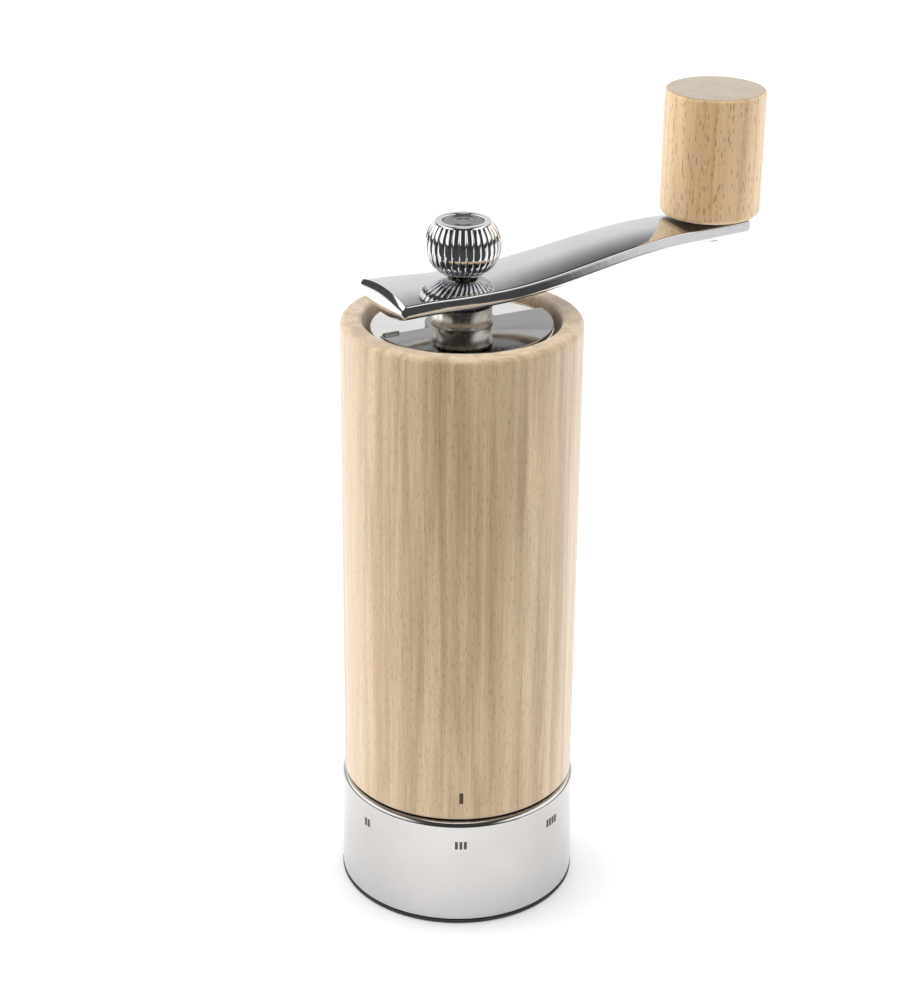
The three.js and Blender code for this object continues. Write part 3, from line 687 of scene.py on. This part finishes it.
def join_tab(leaf, top):
    """Stands the finger tab on the leaf, in the cover's own turned frame."""
    made = bmesh.new()
    made.from_mesh(leaf.data)
    half_x, half_y = TAB_LENGTH / 2, TAB_WIDTH / 2
    corners = ((-half_x, -half_y), (half_x, -half_y), (half_x, half_y), (-half_x, half_y))
    outline = rounded([(*corner, TAB_ROUND) for corner in corners], steps=4)
    levels = ((0, TAB_FOOT), (0, top - 0.2 * MM), (0.06 * MM, top - 0.06 * MM), (0.2 * MM, top))
    rows = []
    for inset, z in levels:
        row = []
        for p in outline:
            x = TAB_AT[0] + p.x * (1 - inset / half_x)
            y = TAB_AT[1] + p.y * (1 - inset / half_y)
            row.append(made.verts.new((x, y, z)))
        rows.append(row)
    bridged(made, rows)
    made.faces.new(rows[-1])
    made.faces.new(rows[0][::-1])
    bmesh.ops.recalc_face_normals(made, faces=made.faces)
    made.to_mesh(leaf.data)
    made.free()
    leaf.data.polygons.foreach_set("use_smooth", [True] * len(leaf.data.polygons))
    leaf.data.set_sharp_from_angle(angle=SHARP_ANGLE)


def make_shutter(finishes):
    _, tab_top, _ = span("fill_shutter")
    _, cover_top, _ = span("cover_plate")
    top = cover_top + LEAF_RISE
    bottom = top - LEAF_THICKNESS
    hole = BEARING_R + BEARING_ROOM
    regions = [
        (hole, COLLAR_R, 0, math.tau),
        (COLLAR_R, LEAF_R, math.pi, math.tau),
    ]
    leaf = sector_plate("shutter_leaf", regions, bottom, top, LEAF_ROUND)
    join_tab(leaf, tab_top - TAB_DROP)
    leaf.data.transform(ALONG_CRANK)
    place(leaf, "shutter", "polished_steel", finishes["shutter"], "fill_shutter")


HUB_DROP = 0.22 * MM  # down to just over the leaf
HUB_WAIST_R = 7.35 * MM
HUB_FLARE = 0.38 * MM
HUB_STEPS = 8
HUB_BORE_R = 3.4 * MM


def make_hub(finishes):
    bottom, top, _ = span("hub_spool")
    bottom -= HUB_DROP
    middle = (bottom + top) / 2
    half = (top - bottom) / 2
    waist = []
    for k in range(-HUB_STEPS, HUB_STEPS + 1):
        t = k / HUB_STEPS
        waist.append((HUB_WAIST_R + HUB_FLARE * t * t, middle + half * t, 0.0))
    corners = [(HUB_BORE_R, bottom, 0.1 * MM), *waist, (HUB_BORE_R, top, 0.1 * MM)]
    hub = lathe("nickel_hub", corners)
    place(hub, "crank", "satin_nickel", finishes["satin_nickel"], "hub_spool")


# ---- Crank arm ----

ARM_TAIL = -21.5 * MM
ARM_REACH = 79 * MM
KNOB_AT = 71.5 * MM
ARM_Z = 165.6 * MM
ARM_EDGE = 3.35 * MM
ARM_RISE = 5.9 * MM
TAIL_RISE = 0.5 * MM
EDGE_ROUND = 0.5 * MM
UNDER_ROUND = 1.0 * MM
END_BULGE = 1.1 * MM
ARM_STATIONS = 150
ARM_COLUMNS = 26
ARM_ROWS = 5


def smoothstep(x, start, end):
    t = min(max((x - start) / (end - start), 0), 1)
    return t * t * (3 - 2 * t)


def arm_top_edge(s):
    tail = TAIL_RISE * smoothstep(-s, 2 * MM, 16 * MM)
    return ARM_Z + tail + ARM_RISE * smoothstep(s, 4 * MM, 60 * MM)


def arm_columns(s):
    """The arm's section at s as columns of (across, height) points, each from belly to crown."""
    half = (21.3 * MM - 0.08 * s) / 2
    crown = 1.5 * MM - 0.004 * max(s, 0)
    belly = 1.7 * MM - 0.009 * s
    top = arm_top_edge(s)
    bottom = top - ARM_EDGE
    across = [-1 + 2 * i / ARM_COLUMNS for i in range(1, ARM_COLUMNS)]
    under = [(x * half, bottom - belly * (1 - x * x), 0) for x in across]
    over = [(-x * half, top + crown * (1 - x * x), 0) for x in across]
    loop = rounded([(-half, bottom, UNDER_ROUND), *under, (half, bottom, UNDER_ROUND),
                    (half, top, EDGE_ROUND), *over, (-half, top, EDGE_ROUND)])
    count = len(loop) // 2
    lower = loop[:count]
    upper = loop[count:][::-1]
    levels = [j / ARM_ROWS for j in range(ARM_ROWS + 1)]
    return [[low.lerp(high, level) for level in levels] for low, high in zip(lower, upper)]


def arm_outline(columns):
    """The points round a section, along its belly and back over its crown."""
    last = columns[-1]
    outline = [column[0] for column in columns] + last[1:]
    outline += [column[-1] for column in columns[-2::-1]]
    return outline + columns[0][-2:0:-1]


def close_arm(made, ring, s, sign):
    """Fills an end of the arm with a slightly domed grid that shares the ring's vertices."""
    columns = arm_columns(s)
    last = len(columns) - 1
    edge = iter(ring)
    grid = [[None] * (ARM_ROWS + 1) for _ in columns]
    for i in range(last + 1):
        grid[i][0] = next(edge)
    for j in range(1, ARM_ROWS + 1):
        grid[last][j] = next(edge)
    for i in range(last - 1, -1, -1):
        grid[i][ARM_ROWS] = next(edge)
    for j in range(ARM_ROWS - 1, 0, -1):
        grid[0][j] = next(edge)
    for i in range(1, last):
        for j in range(1, ARM_ROWS):
            up = 2 * j / ARM_ROWS - 1
            aside = 2 * i / last - 1
            out = END_BULGE * (1 - up * up) * (1 - aside ** 4)
            p = columns[i][j]
            grid[i][j] = made.verts.new((s + sign * out, p.x, p.y))
    bridged(made, grid, closed=False)


def make_arm(finishes):
    made = bmesh.new()
    rings = []
    for i in range(ARM_STATIONS + 1):
        s = ARM_TAIL + (ARM_REACH - ARM_TAIL) * i / ARM_STATIONS
        rings.append([made.verts.new((s, p.x, p.y)) for p in arm_outline(arm_columns(s))])
    bridged(made, rings)
    close_arm(made, rings[0], ARM_TAIL, -1)
    close_arm(made, rings[-1], ARM_REACH, 1)
    bmesh.ops.transform(made, matrix=ALONG_CRANK, verts=made.verts)
    arm = finished_object("chrome_arm", made)
    place(arm, "crank", "crank_chrome", finishes["crank_chrome"], "crank_arm")


# ---- Spring on the grinding cone ----

SPRING_WIRE_R = 0.55 * MM
SPRING_TURNS = 5
WIRE_SIDES = 14
STEPS_PER_TURN = 48


def make_spring(finishes):
    """A coil of round wire standing where the CAD spring stood."""
    bottom, top, reach = span("burr_spring")
    radius = reach - SPRING_WIRE_R
    first = bottom + SPRING_WIRE_R
    climb = top - bottom - 2 * SPRING_WIRE_R
    steps = SPRING_TURNS * STEPS_PER_TURN
    made = bmesh.new()
    rows = []
    for k in range(steps + 1):
        azimuth = CRANK_AZIMUTH + math.tau * k / STEPS_PER_TURN
        outward = Vector((math.cos(azimuth), math.sin(azimuth), 0))
        centre = outward * radius + Vector((0, 0, first + climb * k / steps))
        section = []
        for side in range(WIRE_SIDES):
            angle = math.tau * side / WIRE_SIDES
            upward = Vector((0, 0, math.sin(angle)))
            offset = SPRING_WIRE_R * (outward * math.cos(angle) + upward)
            section.append(made.verts.new(centre + offset))
        rows.append(section)
    bridged(made, rows)
    made.faces.new(rows[0])
    made.faces.new(rows[-1][::-1])
    spring = finished_object("coil_spring", made)
    spring.data.materials.append(finishes["spring_steel"])
    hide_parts("burr_spring")
    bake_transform(spring)


# ---- Knob and spindle ----

KNOB_AXIS = polar(KNOB_AT, CRANK_AZIMUTH)
KNOB_R = 12.8 * MM
KNOB_BORE_R = 5.3 * MM
KNOB_CEILING = 9.2 * MM  # of wood above the bore
SHANK_R = 3 * MM
HEAD_R = 4 * MM
HEAD_HEIGHT = 1.6 * MM
GROOVE_DEPTH = 0.6 * MM

def make_knob(finishes):
    bottom, top, _ = span("crank_knob")
    corners = [
        (KNOB_BORE_R, bottom, 0.4 * MM),
        (KNOB_R, bottom, 1.4 * MM),
        (KNOB_R, top, 0.9 * MM),
        (0, top, 0),
        (0, top - KNOB_CEILING, 0),
        (KNOB_BORE_R, top - KNOB_CEILING, 0.3 * MM),
    ]
    knob = lathe("beech_knob", corners, axis=KNOB_AXIS)
    place(knob, "knob", "knob_wood", finishes["knob_wood"], "crank_knob")


def make_spindle(finishes):
    bottom, top, _ = span("knob_spindle")
    groove_bottom = top - 2.2 * MM
    groove_top = top - 1 * MM
    corners = [
        (0, bottom, 0),
        (HEAD_R / 2, bottom + 0.15 * MM, 1.5 * MM),
        (HEAD_R, bottom + 1.1 * MM, 0.4 * MM),
        (HEAD_R, bottom + HEAD_HEIGHT, 0.1 * MM),
        (SHANK_R, bottom + HEAD_HEIGHT, 0),
        (SHANK_R, groove_bottom, 0.1 * MM),
        (SHANK_R - GROOVE_DEPTH, groove_bottom, 0),
        (SHANK_R - GROOVE_DEPTH, groove_top, 0),
        (SHANK_R, groove_top, 0.1 * MM),
        (SHANK_R, top, 0.4 * MM),
        (0, top, 0),
    ]
    spindle = lathe("spindle_rivet", corners, axis=KNOB_AXIS, segments=64)
    place(spindle, "crank", "crank_chrome", finishes["crank_chrome"], "knob_spindle")


# ---- Finial nut ----

BALL_R = 9.45 * MM
BALL_Z = 175.2 * MM
BALL_HALF_H = 8.5 * MM
RIBS = 30
RIB_DEPTH = 0.3 * MM
BALL_NECK_R = 3.9 * MM
BALL_BORE_R = 3.5 * MM
BALL_FROM = math.radians(-64)  # the wall's latitudes on the ball
BALL_SWEEP = math.radians(105)
BALL_STEPS = 30
SEGMENTS_PER_RIB = 16
RECESS_DEPTH = 1.1 * MM
RIM_DROP = 1.0 * MM  # how much lower the flat top stands than the CAD's
RIM_OUTER_R = 7.0 * MM
RIM_INNER_R = 5.1 * MM


def make_ball(finishes):
    bottom, top, _ = span("finial_ball")
    top -= RIM_DROP
    floor = top - RECESS_DEPTH
    wall = []
    for k in range(BALL_STEPS + 1):
        angle = BALL_FROM + BALL_SWEEP * k / BALL_STEPS
        wall.append((BALL_R * math.cos(angle), BALL_Z + BALL_HALF_H * math.sin(angle), 0))
    shoulder_z = wall[-1][1]
    corners = [
        (BALL_BORE_R, bottom, 0.1 * MM),
        (BALL_NECK_R, bottom, 0.1 * MM),
        *wall,
        (RIM_OUTER_R, shoulder_z, 0),
        (RIM_OUTER_R - 0.2 * MM, top, 0.45 * MM),
        (RIM_INNER_R, top, 0.45 * MM),
        (RIM_INNER_R, floor, 0.1 * MM),
        (0, floor, 0),
        (0, BALL_Z, 0),
        (BALL_BORE_R, BALL_Z, 0.1 * MM),
    ]

    def ribbed(r, z, azimuth):
        """Cuts grooves between the ribs, but leaves the rim and recess round."""
        if z > BALL_Z and r < RIM_OUTER_R + 0.1 * MM:
            return r
        across = abs((azimuth * RIBS / math.tau) % 1 * 2 - 1)
        fade = smoothstep(r, BALL_NECK_R, BALL_NECK_R + 1 * MM)
        return r - RIB_DEPTH * fade * across ** 3

    ball = lathe("ribbed_ball", corners, segments=RIBS * SEGMENTS_PER_RIB, form=ribbed)
    place(ball, "finial", "crank_chrome", finishes["crank_chrome"], "finial_ball")


def make_badge(finishes):
    bottom, top, _ = span("finial_badge")
    bottom -= RIM_DROP
    top -= RIM_DROP
    radius = RIM_INNER_R - 0.15 * MM
    sunk = top - 0.25 * MM
    ridge = top - 0.05 * MM
    corners = [
        (0, bottom, 0),
        (radius, bottom, 0.1 * MM),
        (radius, top, 0.15 * MM),
        (radius - 0.5 * MM, top, 0.1 * MM),
        (radius - 0.7 * MM, sunk, 0.1 * MM),
        (3 * MM, sunk, 0.1 * MM),
        (2.8 * MM, ridge, 0.1 * MM),
        (2.4 * MM, ridge, 0.1 * MM),
        (2.2 * MM, sunk, 0.1 * MM),
        (0, sunk, 0),
    ]
    badge = lathe("badge_disc", corners, segments=96)
    place(badge, "finial", "satin_nickel", finishes["badge"], "finial_badge")


# ---- Everything ----

SOFT_EDGE = 0.12 * MM
SOFT_EDGE_ANGLE = math.radians(40)


def finish_carried(finishes):
    """Gives the CAD nodes that still show their slot's material and softened edges."""
    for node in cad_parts.values():
        if node.hide_render:
            continue
        slot = node.data.materials[0].name
        node.data.materials[0] = finishes[slot]
        edges = node.modifiers.new("soft_edges", "BEVEL")
        edges.width = SOFT_EDGE
        edges.segments = 2
        edges.limit_method = "ANGLE"
        edges.angle_limit = SOFT_EDGE_ANGLE


make_camera()
make_light()
make_floor()
looks = make_finishes()
make_body(looks)
make_ring(looks)
make_foot(looks)
make_marks(looks)
make_cover(looks)
make_shutter(looks)
make_hub(looks)
make_arm(looks)
make_spring(looks)
make_knob(looks)
make_spindle(looks)
make_ball(looks)
make_badge(looks)
finish_carried(looks)
